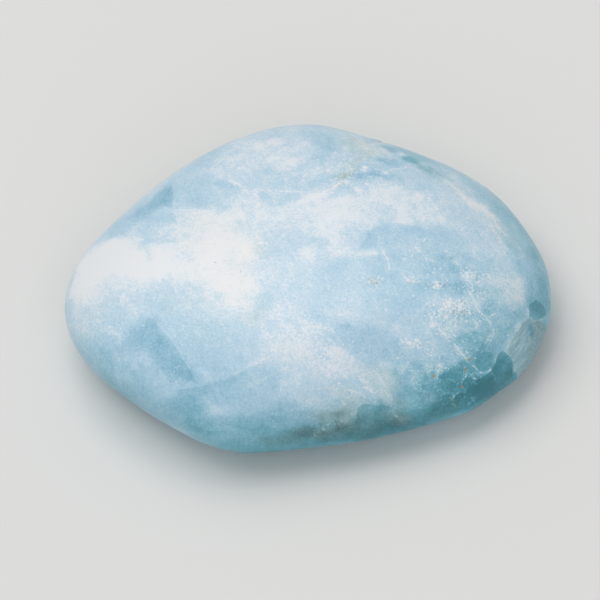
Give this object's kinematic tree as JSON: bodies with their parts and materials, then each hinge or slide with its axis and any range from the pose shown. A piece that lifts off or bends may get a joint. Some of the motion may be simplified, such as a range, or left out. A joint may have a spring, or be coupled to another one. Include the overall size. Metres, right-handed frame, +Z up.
{
  "type": "tumbled aquamarine stone",
  "caption": "Flattened oval pebble of milky pale-blue aquamarine, tumbled to a satin polish, with a small level face to rest on; for display, sorting trays or handling.",
  "frame": {"origin": "under the middle of the bounding box, on the surface that the stone rests on", "axes": "+Z up from the rest face; +X along the stone's length, toward the end with the matte chipped patch; +Y across its width"},
  "size_m": [0.0302, 0.0246, 0.0088],
  "materials": {
    "aquamarine": "satin"
  },
  "bodies": {
    "root": {"tumbled_aquamarine": "aquamarine"}
  },
  "joints": []
}
